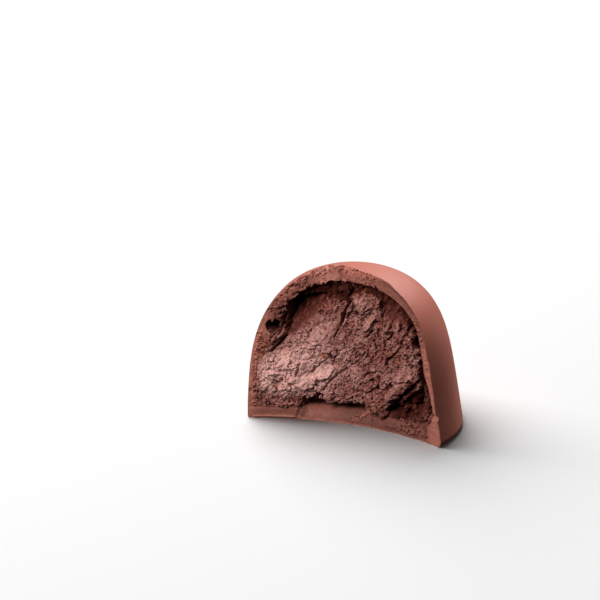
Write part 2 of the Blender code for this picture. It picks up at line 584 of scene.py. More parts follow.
class Value:
    """One number of a node tree, on which Python's operators add Math nodes."""

    def __init__(self, graph: "Graph", socket: bpy.types.NodeSocket) -> None:
        """Wraps an output socket of a graph."""
        self.graph = graph
        self.socket = socket

    def math(self, operation: str, *others: "Value | float", clamp: bool = False) -> "Value":
        """Adds one Math node, with this value first."""
        settings = {"operation": operation, "use_clamp": clamp}
        sockets = {index: item for index, item in enumerate((self, *others))}
        return self.graph.value("ShaderNodeMath", settings, sockets, "Value")

    def __add__(self, other: "Value | float") -> "Value":
        """The sum."""
        return self.math("ADD", other)

    def __sub__(self, other: "Value | float") -> "Value":
        """The difference."""
        return self.math("SUBTRACT", other)

    def __mul__(self, other: "Value | float") -> "Value":
        """The product."""
        return self.math("MULTIPLY", other)

    def __rsub__(self, other: float) -> "Value":
        """A number less this value."""
        return self.math("MULTIPLY_ADD", -1.0, other)

    __radd__ = __add__
    __rmul__ = __mul__

    def clamped(self) -> "Value":
        """This value, kept from 0 to 1."""
        return self.math("ADD", 0.0, clamp=True)

    def step(self, low: float, high: float) -> "Value":
        """A smooth rise from 0 at low to 1 at high."""
        settings = {"interpolation_type": "SMOOTHSTEP"}
        sockets = {"Value": self, "From Min": low, "From Max": high}
        return self.graph.value("ShaderNodeMapRange", settings, sockets, "Result")


Input = Value | bpy.types.NodeSocket | float | tuple


class Graph:
    """A material's node tree, built round its Principled BSDF."""

    def __init__(self, name: str) -> None:
        """Starts a material with a Principled BSDF and nothing else."""
        self.material = bpy.data.materials.new(name)
        self.material.use_nodes = True
        self.tree = self.material.node_tree
        self.shader = self.tree.nodes["Principled BSDF"]
        self.place = self.node("ShaderNodeTexCoord").outputs["Object"]

    def node(
        self,
        kind: str,
        settings: dict[str, object] | None = None,
        sockets: dict[str | int, Input] | None = None,
    ) -> bpy.types.Node:
        """Adds a node.

        Args:
            kind: the node's type.
            settings: its own settings, which are made first.
            sockets: values or links for its inputs, by name or number.

        Returns:
            The node.
        """
        made = self.tree.nodes.new(kind)
        for name, setting in (settings or {}).items():
            setattr(made, name, setting)
        for name, item in (sockets or {}).items():
            self.feed(made.inputs[name], item)
        return made

    def feed(self, socket: bpy.types.NodeSocket, item: Input) -> None:
        """Links or sets one input socket."""
        if isinstance(item, Value):
            item = item.socket
        if isinstance(item, bpy.types.NodeSocket):
            self.tree.links.new(item, socket)
        else:
            socket.default_value = item

    def value(
        self,
        kind: str,
        settings: dict[str, object] | None,
        sockets: dict[str | int, Input] | None,
        output: str,
    ) -> Value:
        """Adds a node and wraps one of its outputs."""
        return Value(self, self.node(kind, settings, sockets).outputs[output])

    def attribute(self, name: str) -> Value:
        """A number that was painted on the piece's points."""
        return self.value("ShaderNodeAttribute", {"attribute_name": name}, None, "Fac")

    def noise(self, grain: float, detail: float = 2.0, roughness: float = 0.5) -> Value:
        """Noise in space, centred on 0.5, whose lumps are about grain across, in millimetres."""
        sockets = {
            "Vector": self.place,
            "Scale": 1.0 / (grain * MM),
            "Detail": detail,
            "Roughness": roughness,
        }
        return self.value("ShaderNodeTexNoise", None, sockets, "Fac")

    def blend(self, share: Value, first: Input, second: Input) -> bpy.types.NodeSocket:
        """A colour from first, where share is 0, to second, where it is 1."""
        settings = {"data_type": "RGBA", "clamp_factor": True}
        node = self.node("ShaderNodeMix", settings, {0: share, 6: first, 7: second})
        return node.outputs[2]

    def bump(self, height: Value, depth: float) -> None:
        """Feeds the shader's Normal from a height.

        Args:
            height: the relief, from 0 to 1.
            depth: how deep it is from 0 to 1, in millimetres.
        """
        sockets = {"Height": height, "Distance": depth * MM, "Strength": 1.0}
        node = self.node("ShaderNodeBump", None, sockets)
        self.feed(self.shader.inputs["Normal"], node.outputs["Normal"])

    def shade(self, **sockets: Input) -> bpy.types.Material:
        """Sets the shader's inputs, named with underscores for spaces, and returns the material."""
        for name, item in sockets.items():
            self.feed(self.shader.inputs[name.replace("_", " ")], item)
        return self.material


Colour = tuple[float, float, float, float]


@dataclass(frozen=True)
class ShellFinish:
    """Moulded milk chocolate: a satin skin, and a dull grainy break."""

    skin: Colour = (0.285, 0.078, 0.050, 1.0)
    skin_pale: Colour = (0.320, 0.096, 0.066, 1.0)
    # The break's tone runs from broken_dull to broken_pale, whose ends also serve as painted shade and
    # painted highlights
    broken_dull: Colour = (0.045, 0.011, 0.007, 1.0)
    broken_pale: Colour = (0.450, 0.155, 0.112, 1.0)
    broken_dark: Colour = (0.080, 0.018, 0.011, 1.0)
    skin_roughness: float = 0.64
    broken_roughness: float = 0.62

    def material(self) -> bpy.types.Material:
        """Builds the material."""
        graph = Graph("shell_chocolate_finish")
        broken = graph.attribute("broken")
        crumbly = graph.attribute("crumbly")
        cloud = graph.noise(7.0, 3.0).step(0.35, 0.7)
        grain = graph.noise(0.35, 3.0, 0.6)
        skin = graph.blend(cloud * 0.5 + (grain - 0.5) * 0.5, self.skin, self.skin_pale)
        # The tone read here also carries painted highlights on the lit edges and rim and painted shade
        # in pits, the hole and inside the shell
        tone = (graph.attribute("tone") + (grain - 0.5) * (0.5 + 0.6 * crumbly)).clamped()
        inside = graph.blend(tone, self.broken_dull, self.broken_pale)
        dark = graph.noise(0.42, 3.0, 0.65).step(0.54, 0.66) * (0.10 + 0.40 * crumbly)
        inside = graph.blend(dark, inside, self.broken_dark)
        roughness = self.skin_roughness + (cloud - 0.5) * 0.06
        roughness = roughness + broken * (self.broken_roughness - self.skin_roughness)
        fine = graph.noise(0.5, 4.0, 0.55)
        rough = grain * 0.55 + graph.noise(0.16) * 0.45
        height = (1.0 - broken) * fine * 0.12 + broken * (0.4 + 0.6 * crumbly) * rough
        graph.bump(height, 0.22)
        return graph.shade(
            Base_Color=graph.blend(broken, skin, inside),
            Roughness=roughness,
            Specular_IOR_Level=0.18,
            Sheen_Weight=0.02,
        )


@dataclass(frozen=True)
class FillingFinish:
    """Whipped chocolate filling: pale smears over a darker speckled paste, with painted light on its
    lit parts and painted shade in its recesses.
    """

    paste: Colour = (0.215, 0.064, 0.048, 1.0)
    # The pale colour also stands in for painted sheen on the smears and painted light on the lit lower
    # left
    pale: Colour = (0.725, 0.393, 0.345, 1.0)
    # The dark brown of its specks, which also serves as painted shade in recesses, pits, cracks,
    # hollows and under the crown
    moist: Colour = (0.052, 0.0095, 0.006, 1.0)
    rust: Colour = (0.330, 0.105, 0.055, 1.0)
    roughness: float = 0.58

    def material(self) -> bpy.types.Material:
        """Builds the material."""
        graph = Graph("filling_ganache_finish")
        # How pale it is painted, which carries painted light on lit and raised parts and painted shade
        # on recessed ones
        dry = graph.attribute("dry")
        wet = graph.attribute("moist")
        torn = graph.attribute("torn")
        grain = graph.noise(0.32, 3.0, 0.65)
        mottle = graph.noise(1.3, 3.0, 0.6)
        paleness = (dry + (grain - 0.5) * 1.3 + (mottle - 0.5) * 0.8).clamped()
        colour = graph.blend(paleness, self.paste, self.pale)
        specks = graph.noise(0.36, 2.0, 0.6).step(0.55, 0.66) * (0.15 + 0.65 * torn)
        rusty = graph.noise(0.8, 2.0, 0.6).step(0.58, 0.72) * (0.1 + 0.5 * torn)
        colour = graph.blend((rusty + graph.attribute("rust")).clamped(), colour, self.rust)
        # Dark specks, and painted shade where the dark attribute asks for it
        colour = graph.blend((specks + wet).clamped(), colour, self.moist)
        height = grain * 0.6 + graph.noise(0.16, 2.0) * 0.4 - specks * 0.5
        graph.bump(height * (0.35 + 0.65 * torn), 0.26)
        return graph.shade(
            Base_Color=colour,
            Roughness=self.roughness + (grain - 0.5) * 0.2 + wet * 0.1,
            Specular_IOR_Level=0.06,
        )


# The pieces


@dataclass(frozen=True)
class TruffleForm:
    """The outside and the cavity, worked out from the CAD nodes' boxes."""

    lean: float = 0.24
    cavity_lean: float = 0.275
    foot_rounding: float = 1.1
    cavity_corner: float = 1.4
    clearance: float = 0.3
    shell_squeeze: float = 0.6
    cavity_squeeze: float = 1.0
    scraped: float = 0.65
    corner_steps: int = 8
    heel: float = 1.2
    heel_side: Span = (10.5, 15.0)
    heel_heights: Span = (2.0, 6.0)

    def outside(self) -> DomeForm:
        """The moulded outside. Its foot is widest just above the rounding."""
        _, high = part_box("shell")
        height = high.z / MM
        radius = high.x / MM / (1.0 - self.lean * self.foot_rounding / height)
        return DomeForm(radius, height, self.lean, 0.0, self.foot_rounding)

    def cavity(self, reach: float) -> DomeForm:
        """The space inside the shell, grown by reach."""
        low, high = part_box("filling")
        gap = self.clearance + reach
        height = high.z / MM + gap
        bottom = low.z / MM - gap
        foot = (low.z / MM + self.cavity_corner) / height
        radius = high.x / MM / (1.0 - self.cavity_lean * foot) + gap
        return DomeForm(radius, height, self.cavity_lean, bottom, self.cavity_corner)

    def shell_body(self, segments: int, corner_steps: int, rings: int) -> bmesh.types.BMesh:
        """The whole outside as a solid, squeezed as the bite left it."""
        dome = self.outside()
        body = dome.turned(segments, corner_steps, rings)
        Squeeze(self.shell_squeeze, dome.radius - self.scraped, dome.radius).apply(body)
        return body

    def cavity_body(self, reach: float, segments: int, rings: int) -> bmesh.types.BMesh:
        """The space inside the shell as a solid, grown by reach.

        Its floor rises at the right, where the shell's wall has a thick heel.
        """
        body = self.cavity(reach).turned(segments, self.corner_steps, rings)
        widest = self.outside().radius
        Squeeze(self.cavity_squeeze, widest, widest).apply(body)
        for vert in body.verts:
            low = 1.0 - smoothstep(*self.heel_heights, vert.co.z)
            vert.co.z += self.heel * float(smoothstep(*self.heel_side, vert.co.x) * low)
        return body


@dataclass(frozen=True)
class ShellTones:
    """How pale the snapped edge is painted, and how much its parts are paler or darker, partly as
    painted highlights and painted shade.
    """

    even: float = 0.44
    # pale paints highlights on the lit edges, and dull darkens the dull places, partly as painted shade
    pale: float = 0.36
    dull: float = 0.22
    crumbly: float = 0.10
    # relief paints shade in the crumbly pits and highlights on the raised grains
    relief: float = 0.5
    # hole, inside and rim paint shade in the hole, shade inside the shell and a highlight along the rim
    hole: float = 1.5
    inside: float = 0.25
    rim: float = 0.25


@dataclass
class Shell:
    """The chocolate shell, with its snapped edge."""

    form: TruffleForm
    bite: Bite
    tones: ShellTones = ShellTones()
    segments: int = 288
    rings: int = 110
    corner_steps: int = 12
    cavity_segments: int = 144
    cavity_rings: int = 48
    cell: float = 0.12
    margin: float = 1.5
    crease: float = 42.0
    # The notch in the crown's edge, which is wider on its right
    notch_middle: float = -5.0
    notch_widths: Span = (3.2, 5.0)
    notch_depth: float = 3.3
    notch_heights: Span = (23.4, 26.0)
    # The floor's edge, rounded over in the middle and chipped back along its top
    floor: float = 2.0
    round_over: float = 2.2
    round_limit: float = 0.995
    round_ends: Span = (-8.0, 5.5)
    round_fade: float = 1.2
    round_heights: Span = (6.0, 9.0)
    chip: float = 0.8
    chip_ends: Span = (-8.0, 13.5)
    chip_fade: float = 1.0
    # The unevenness of the whole edge
    crags: Sequence[Ripple] = (
        Ripple(1.6, 11.0, height=0.10),
        Ripple(0.5, 2.0, height=0.035, octaves=2),
    )
    # The right side, which stands proud by an amount for each height
    lip_side: Span = (3.0, 9.0)
    lip_heights: Span = (14.0, 19.0)
    lip_rim: float = 1.8
    lip: Border = Border(
        ((0.0, 0.0), (3.0, 0.1), (5.5, 0.6), (14.0, 0.75))
        + ((18.0, 1.0), (22.0, 1.2), (24.5, 0.9), (26.0, 0.0))
    )
    # The blade at the right: its inner border for each height, and how it is broken back there
    blade: Border = Border(
        ((4.2, 12.0), (4.5, 15.2), (5.4, 15.7), (6.0, 15.5))
        + ((8.0, 15.05), (10.0, 14.5), (11.6, 13.6), (12.0, 12.0))
    )
    blade_depth: float = 2.4
    blade_side: Span = (12.0, 12.6)
    blade_foot: Span = (4.2, 4.6)
    blade_top: Span = (11.0, 12.0)
    blade_edge: Span = (0.0, 0.5)
    blade_ragged: Ripple = Ripple(0.9, 31.0, height=0.1, octaves=2)
    # The crumbly parts and their relief
    crumb_relief: Ripple = Ripple(0.48, 12.0, height=0.55)
    crumb_holes: Pits = Pits(0.45, 8.0, busy=0.3, depth=0.14)
    crumb_grains: Pits = Pits(0.50, 18.0, busy=0.9, depth=-0.35)
    crumbled: Sequence[Oval | Crack] = (
        Crack(((-12.9, 19.0), (-11.6, 21.2), (-9.3, 23.4), (-6.3, 24.9), (-3.0, 25.6)), 1.0),
        Crack(((-3.0, 25.4), (0.0, 25.7), (3.5, 25.3)), 1.1),
        Crack(((-10.5, 20.2), (-8.0, 22.3), (-5.0, 23.7), (-1.0, 24.3), (4.0, 24.1)), 0.7),
        Crack(((11.0, 20.4), (13.4, 15.5), (14.4, 12.0)), 0.7),
        Crack(((-14.6, 14.8), (-14.8, 12.0), (-15.2, 9.0)), 0.9),
        Crack(((0.2, 0.6), (2.0, 1.6), (4.2, 2.0)), 0.8),
        Crack(((-15.3, 9.0), (-15.5, 5.0), (-15.5, 2.4)), 0.45),
        Oval((11.0, 1.6), (3.0, 1.2)),
    )
    # Single dents, cracks, ridges and lumps
    details: Sequence[Oval | Crack] = (
        Oval((-11.6, 20.6), (2.6, 2.4), 0.0, -0.5),
        Oval((5.5, 2.2), (1.6, 0.9), 0.0, 0.5, 2.0),
        Crack(((4.2, 0.0), (3.9, 1.0), (4.3, 2.2)), 0.35, 0.25),
        Crack(((-16.2, 1.9), (-12.0, 1.75), (-8.2, 1.9)), 0.30, 0.10),
        Crack(((-15.5, 0.25), (-9.2, 0.35)), 0.30, -0.25),
        Crack(((-8.7, 0.5), (-8.4, 1.9)), 0.40, 0.25),
        Crack(((-15.35, 11.4), (-15.55, 8.6), (-15.75, 5.6)), 0.22, 0.14),
        Oval((-16.1, 4.7), (0.22, 0.45), 0.0, 0.3, 2.0),
        Oval((15.4, 5.0), (1.7, 0.5), 0.0, 0.8, 2.0),
        Oval((-2.5, 24.9), (0.75, 0.40), -20.0, 1.0, 2.0),
        Oval((0.5, 25.8), (0.35, 0.25), 0.0, 0.6, 2.0),
        Oval((-8.4, 24.1), (0.50, 0.35), 40.0, 0.7, 2.0),
        Oval((-9.7, 22.9), (0.45, 0.30), 45.0, 0.6, 2.0),
        Crack(((14.0, 1.2), (13.9, 2.4), (13.7, 3.6)), 0.35, -0.45),
    )
    # How far loose crumbs keep from the skin, and how far they may hang over the cavity
    skin_gap: float = 0.15
    overhang: float = 0.05
    # Where the paint changes: behind the snapped face, inside the skin, which is painted in shade, and
    # along the rim, which gets a painted highlight
    broken_limits: Span = (0.03, 0.12)
    inside_limits: Span = (0.4, 0.8)
    rim_highlight_limits: Span = (0.1, 0.45)
    rim_highlight_side: Span = (-2.0, 3.0)
    # Chips along the inner side of the crown's edge
    crown_chips: float = 1.3
    crown_chip_reach: Span = (0.15, 1.0)
    crown_chip_heights: Span = (17.0, 19.0)
    crown_chip_side: Span = (3.5, 5.5)
    crown_chip_share: Span = (-0.15, 0.25)
    crown_chip_pattern: Ripple = Ripple(0.85, 34.0)
    # The hole at the left and the shade painted in it
    hole: Oval = Oval((-12.6, 16.05), (1.00, 1.05), 8.0, 3.5, 8.0)
    hole_shade: Oval = Oval((-12.6, 16.05), (1.16, 1.22), 8.0, 1.0, 10.0)
    # Where the snapped edge is painted pale, as highlights on its lit edges and its lit left side, and
    # where it is dull, partly as painted shade
    painted_light_places: Sequence[Oval | Crack] = (
        Crack(((-15.6, 13.0), (-16.2, 7.0), (-16.6, 1.0)), 2.0),
        Oval((15.6, 2.0), (1.4, 3.0), steepness=3.0),
        Crack(((13.4, 15.5), (14.4, 12.0), (15.0, 8.5), (15.7, 5.0)), 1.0),
        Oval((0.0, 25.8), (6.0, 0.7)),
        Crack(((-14.2, 14.5), (-13.2, 18.0), (-11.4, 20.8), (-9.4, 22.6)), 1.0),
        Crack(((-15.8, 0.2), (-9.2, 0.3)), 0.3),
        Crack(((-8.0, 0.1), (4.0, 0.1), (14.0, 0.1)), 0.3),
        Crack(((0.6, 0.8), (2.0, 1.6), (3.2, 2.4)), 0.3),
    )
    # Partly painted shade: the middle and right of the floor's edge and the places beside the gap are
    # painted darker
    dull_and_shaded_places: Sequence[Oval | Crack] = (
        Oval((5.5, 1.0), (8.5, 2.0), steepness=3.0),
        Oval((-8.0, 1.2), (0.7, 0.9), steepness=2.0),
        Oval((12.0, 2.2), (3.0, 2.4), steepness=3.0),
        Crack(((-13.6, 17.0), (-11.6, 20.0), (-9.0, 22.4)), 1.4),
        Oval((-14.5, 11.6), (0.8, 2.6), -10.0),
        Crack(((-15.3, 11.6), (-15.5, 8.6), (-15.6, 5.6)), 0.25),
    )

    def lipped(self, x: Numbers, z: Numbers) -> Numbers:
        """How far the right edge stands proud: all of it low down, and its outer side high up."""
        outside = self.form.outside()
        inset = outside.radius_at(z) - np.hypot(x, self.bite.arc(x))
        outer = 1.0 - smoothstep(0.0, self.lip_rim, inset)
        low = 1.0 - smoothstep(*self.lip_heights, z)
        return self.lip.height(z) * smoothstep(*self.lip_side, x) * (low + (1.0 - low) * outer)

    def bevelled(self, x: Numbers, z: Numbers) -> Numbers:
        """How far the inner side of the right blade is broken back."""
        heights = smoothstep(*self.blade_foot, z) * (1.0 - smoothstep(*self.blade_top, z))
        ragged = self.blade_ragged.ground(x, z)
        inner = smoothstep(*self.blade_edge, self.blade.height(z) + ragged - x)
        return self.blade_depth * heights * inner * smoothstep(*self.blade_side, x)

    def chipped(self, x: Numbers, z: Numbers) -> Numbers:
        """How far the inner side of the crown's edge is chipped back."""
        inner = np.hypot(x, self.bite.arc(x)) - self.form.cavity(0.0).radius_at(z)
        near = 1.0 - smoothstep(*self.crown_chip_reach, inner)
        share = smoothstep(*self.crown_chip_share, self.crown_chip_pattern.ground(x, z))
        left = 1.0 - smoothstep(*self.crown_chip_side, x)
        return self.crown_chips * near * share * smoothstep(*self.crown_chip_heights, z) * left

    def crumble(self, x: Numbers, z: Numbers) -> Numbers:
        """The relief of its crumbly parts, as a depth."""
        rough = cover(self.crumbled, x, z)
        holes, grains = self.crumb_holes.ground(x, z, rough), self.crumb_grains.ground(x, z, rough)
        return rough * (self.crumb_relief.ground(x, z) + holes + grains)

    def face(self, x: Numbers, z: Numbers) -> Numbers:
        """How far its snapped edge lies behind the arc."""
        away = x - self.notch_middle
        width = np.where(away < 0.0, *self.notch_widths)
        notch = self.notch_depth * np.exp(-((away / width) ** 2))
        notch *= smoothstep(*self.notch_heights, z)
        rise = np.clip(z / self.floor, 0.0, 1.0)
        near_floor = 1.0 - smoothstep(*self.round_heights, z)
        rounded = self.round_over * (1.0 - np.sqrt(1.0 - self.round_limit * rise * rise))
        rounded *= between(self.round_ends, self.round_fade, x) * near_floor
        chip = self.chip * smoothstep(0.5 * self.floor, self.floor, z)
        chip *= between(self.chip_ends, self.chip_fade, x)
        ground = notch + np.maximum(rounded, chip) + total(self.crags, x, z) + self.crumble(x, z)
        edges = self.bevelled(x, z) - self.lipped(x, z) + self.chipped(x, z)
        return ground + edges + total(self.details, x, z) + self.hole.ground(x, z) * beside_tip(x, z)

    def colours(self, x: Numbers, z: Numbers) -> dict[str, Numbers]:
        """What is painted on the points of its snapped edge, by name, for the finish, with painted
        highlights and painted shade in its tone.
        """
        crumbly, tones = cover(self.crumbled, x, z), self.tones
        # Painted highlights on the lit edges, and the dull places darker, partly as painted shade
        tone = tones.even + tones.pale * cover(self.painted_light_places, x, z)
        tone -= tones.dull * cover(self.dull_and_shaded_places, x, z)
        # Crumbly parts paler, with painted shade in their pits and painted highlights on their grains
        tone += tones.crumbly * crumbly - tones.relief * self.crumble(x, z)
        # Painted shade in the hole at the left
        tone -= tones.hole * self.hole_shade.share(x, z) * beside_tip(x, z)
        return {"broken": np.ones(x.shape), "crumbly": crumbly, "tone": tone}

    def holds(self, x: Numbers, y: Numbers, z: Numbers) -> Numbers:
        """Whether points lie in its walls."""
        away = np.hypot(x, y)
        inside = self.form.cavity(0.0).radius_at(z)
        outside = self.form.outside().radius_at(z)
        return (away < outside - self.skin_gap) & (away > inside - self.overhang)

    def build(self, finish: bpy.types.Material) -> bpy.types.Object:
        """Makes the piece that stands for the CAD node shell."""
        body = self.form.shell_body(self.segments, self.corner_steps, self.rings)
        cavity = self.form.cavity_body(0.0, self.cavity_segments, self.cavity_rings)
        outside = self.form.outside()
        heights = (-self.margin, outside.height + self.margin)
        block = self.bite.cutter(self.face, outside.radius + self.margin, heights, self.cell)
        obj = carve("truffle_shell", body, (cavity, block))
        places = corners_of(obj)
        x, y, z = places.T
        behind = y - self.bite.arc(x) - self.face(x, z)
        broken = 1.0 - smoothstep(*self.broken_limits, behind)
        move_corners(obj, places * MM)
        inset = outside.radius_at(z) - np.hypot(x, y)
        colours = self.colours(x, z)
        inside = smoothstep(*self.inside_limits, inset) * (1.0 - broken)
        rim = 1.0 - smoothstep(*self.rim_highlight_limits, inset)
        colours["broken"] = np.maximum(broken, inside)
        # Painted shade inside the shell
        colours["tone"] -= self.tones.inside * inside
        # A painted highlight along the outer edge of the rim, on its left side
        colours["tone"] += self.tones.rim * rim * (1.0 - smoothstep(*self.rim_highlight_side, x))
        finish_piece(obj, finish, self.crease, colours)
        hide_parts("shell")
        return obj


@dataclass(frozen=True)
class FillingTones:
    """How pale and how dark the filling is painted, and how much its parts differ, largely as painted
    light and painted shade.
    """

    even: float = 0.12
    # pale and smeared paint the lit lower left and the smears lighter, as painted light
    pale: float = 0.85
    mild: float = 0.22
    smeared: float = 0.15
    # relief paints raised ground lighter and recessed ground darker, as painted light and painted shade
    relief: float = 0.8
    level: float = 0.12
    # dim and sunk paint shade in the dim places and under the crown
    dim: float = 0.40
    sunk: float = 0.2
    # These paint dark shade under the crown, in pits, cracks and hollows
    sunk_shade: float = 0.76
    deep_shade: float = 0.24
    pit_shade: float = 0.65
    crack_shade: float = 0.5
    spotted: float = 0.35
    # Where the painted shade under the crown and in the hollows begins and ends
    sunk_slopes: Span = (0.0, 0.35)
    deep_slopes: Span = (0.3, 0.85)
    hanging_depths: Span = (0.8, 1.8)
    shaded_hollows: Span = (0.6, 2.0)
    darkest_shaded_hollows: Span = (2.0, 3.2)


@dataclass
class Filling:
    """The torn filling: smeared flakes, pits and creases on a hollowed lump."""

    form: TruffleForm
    bite: Bite
    tones: FillingTones = FillingTones()
    segments: int = 144
    rings: int = 48
    cell: float = 0.09
    margin: float = 0.4
    side_margin: float = 0.6
    crease: float = 60.0
    overlap: float = 0.04
    crumb_reach: float = 0.2
    # A shiver that roughens the torn face, and fades out below the cavity's top
    torn_limits: Span = (0.05, 0.15)
    shiver_top: Span = (0.4, 1.2)
    shiver: float = 0.08
    shiver_grain: float = 0.55
    shiver_seed: int = 2
    # Where its face turns back under the crown, where the gap above it begins, where crumbs hang
    brow: Border = Border(
        ((-16.0, 26.0), (-10.9, 26.0), (-10.5, 14.2), (-9.4, 14.0), (-8.4, 14.9), (-7.4, 16.0))
        + ((-6.4, 17.3), (-5.4, 18.9), (-4.7, 20.2), (-4.2, 21.0), (-2.0, 21.2), (-0.8, 20.9))
        + ((-0.2, 21.9), (1.0, 22.7), (4.6, 22.6), (5.3, 21.4), (5.8, 19.0), (7.0, 18.6))
        + ((10.0, 18.4), (10.9, 17.8), (11.6, 16.9), (12.3, 15.6), (16.0, 12.0))
    )
    crest: Border = Border(
        ((-16.0, 26.5), (-10.9, 26.5), (-10.6, 16.8), (-10.2, 17.6), (-9.3, 19.0), (-8.3, 19.9))
        + ((-7.0, 20.3), (-5.0, 20.9), (-4.2, 21.2), (-2.0, 21.4), (-0.8, 21.1), (-0.2, 22.3))
        + ((1.0, 23.3), (4.6, 23.2), (5.4, 22.9), (6.5, 22.0), (8.0, 21.2), (9.3, 19.8))
        + ((10.4, 18.6), (11.3, 17.5), (12.0, 16.2), (16.0, 12.5))
    )
    fringe: Border = Border(
        ((-16.0, 17.0), (-12.8, 17.0), (-11.2, 17.3), (-10.9, 18.6), (-10.4, 20.0), (-9.0, 20.8))
        + ((-7.0, 21.3), (-5.0, 21.5), (-3.0, 21.6), (-1.6, 21.7), (-0.4, 22.7), (0.6, 23.5))
        + ((4.6, 23.7), (5.2, 30.0), (16.0, 30.0))
    )
    # How deep those lie
    slope_depth: Border = Border(
        ((-16.0, 1.8), (-10.0, 2.9), (-5.0, 1.9), (-4.0, 0.4))
        + ((4.8, 0.4), (5.6, 1.3), (10.0, 1.7), (16.0, 0.6))
    )
    slope_curve: float = 1.2
    gap_depth: Border = Border(
        ((-16.0, 3.4), (-10.0, 5.0), (-8.0, 5.0), (-4.0, 3.8))
        + ((0.0, 2.8), (5.0, 2.8), (8.0, 2.9), (12.0, 2.0))
    )
    gap_edge: Span = (0.0, 0.45)
    least_slope: float = 0.4
    fringe_edge: Span = (-0.2, 0.2)
    fringe_depth: Border = Border(
        ((-16.0, 0.4), (-11.0, 0.5), (-10.0, 1.6), (-9.0, 1.9), (-1.0, 1.9), (0.4, 1.3), (5.0, 1.2))
    )
    # The torn foot: its height, and where and how far it is torn back
    foot: Border = Border(
        ((-16.0, 2.3), (-13.9, 2.0), (-8.5, 2.2), (-7.9, 3.9), (-6.3, 4.9), (-5.0, 4.6))
        + ((-4.0, 4.1), (-2.6, 4.0), (-1.0, 4.5), (2.0, 4.5), (4.0, 3.8), (5.0, 2.7))
        + ((6.4, 2.6), (6.8, 3.6), (8.4, 3.6), (8.8, 2.6), (13.6, 2.6))
    )
    undercut_ends: Span = (-8.2, 6.6)
    undercut_fade: float = 0.5
    undercut_edge: Span = (-0.5, 0.2)
    undercut_depth: float = 3.2
    # Where it was smeared smooth instead of torn
    smooth_slope: Span = (0.05, 0.3)
    rough_ends: Span = (-4.4, 5.2)
    rough_fade: float = 0.4
    slope_calm: float = 0.85
    smear_calm: float = 0.5
    # Where the tear runs upright instead of aslant
    upright_side: Span = (-3.0, 5.0)
    upright_height: float = 14.0
    upright_lean: float = 0.6
    # The patterns that roughen its borders and its ground
    crown_wave: Ripple = Ripple(1.0, 17.0, height=0.38)
    fringe_ragged: Ripple = Ripple(0.8, 19.0, height=0.55)
    foot_ragged: Ripple = Ripple(0.9, 7.0, height=0.5)
    moist_relief: Ripple = Ripple(0.9, 46.0, height=0.55)
    patches: Ripple = Ripple(3.2, 41.0, octaves=2)
    swell_depth: float = 0.42
    swell: Ripple = Ripple(2.4, 3.0, height=0.7, octaves=2)
    warp_across: Ripple = Ripple(1.1, 21.0, height=0.20)
    warp_up: Ripple = Ripple(1.1, 22.0, height=0.20)
    fine: Ripple = Ripple(0.40, 6.0, height=0.10, octaves=2)
    fine_lines: Ripple = Ripple(0.42, 14.0, 62.0, 1.8, height=0.12, octaves=2)
    streaks: Ripple = Ripple(0.8, 35.0, 72.0, 6.0, height=0.26)
    creases: Creases = Creases(0.9, 5.0, 42.0, 1.6, octaves=2)
    round_pits: Pits = Pits(0.44, 8.0, 50.0, 1.3)
    long_pits: Pits = Pits(0.36, 28.0, 68.0, 1.7)
    dry_spots: Ripple = Ripple(0.6, 45.0)
    # Single forms
    hollows: Sequence[Oval] = (
        Oval((10.8, 6.1), (3.9, 2.1), 34.0, 1.9, 2.0),
        Oval((-12.6, 16.05), (1.00, 1.05), 8.0, 4.0, 8.0),
        Oval((-11.7, 18.6), (0.45, 0.6), 30.0, 1.2, 2.0),
        Oval((11.5, 16.1), (0.50, 1.15), -6.0, 3.3, 4.0),
        Oval((10.6, 18.4), (0.28, 0.40), 0.0, 1.8, 3.0),
        Oval((12.4, 14.4), (0.35, 0.3), 0.0, 1.6, 2.0),
        Oval((12.9, 9.3), (0.45, 0.6), 0.0, 1.4, 2.0),
        Oval((7.9, 3.7), (1.5, 0.80), 14.0, 2.8, 3.0),
        Oval((12.2, 5.5), (0.8, 1.2), 20.0, 1.6, 2.0),
        Oval((10.6, 3.7), (0.8, 0.6), 0.0, 1.4, 2.0),
        Oval((-3.4, 11.4), (0.30, 0.62), 25.0, 1.6, 3.0),
        Oval((-2.9, 10.3), (0.28, 0.5), 0.0, 0.9, 2.0),
        Oval((3.8, 8.1), (0.55, 0.32), 10.0, 1.4, 2.5),
        Oval((4.8, 7.0), (0.28, 0.55), -20.0, 1.4, 2.5),
        Oval((11.3, 11.9), (0.5, 0.3), -30.0, 1.2, 2.5),
        Oval((7.0, 7.4), (0.8, 0.5), 50.0, 0.7, 2.0),
        Oval((4.3, 18.3), (0.35, 0.35), 0.0, 0.8, 2.0),
        Oval((1.1, 19.2), (0.35, 0.5), 0.0, 0.8, 2.0),
        Oval((-11.8, 6.4), (0.28, 0.55), 8.0, 0.9, 2.5),
        Oval((-10.9, 7.0), (0.25, 0.42), 0.0, 0.8, 2.5),
        Oval((-5.7, 6.2), (0.5, 0.25), -30.0, 0.7, 2.5),
        Oval((-9.5, 6.2), (0.25, 0.45), 30.0, 0.7, 2.5),
        Oval((-12.6, 10.0), (0.4, 0.25), 20.0, 0.6, 2.5),
    )
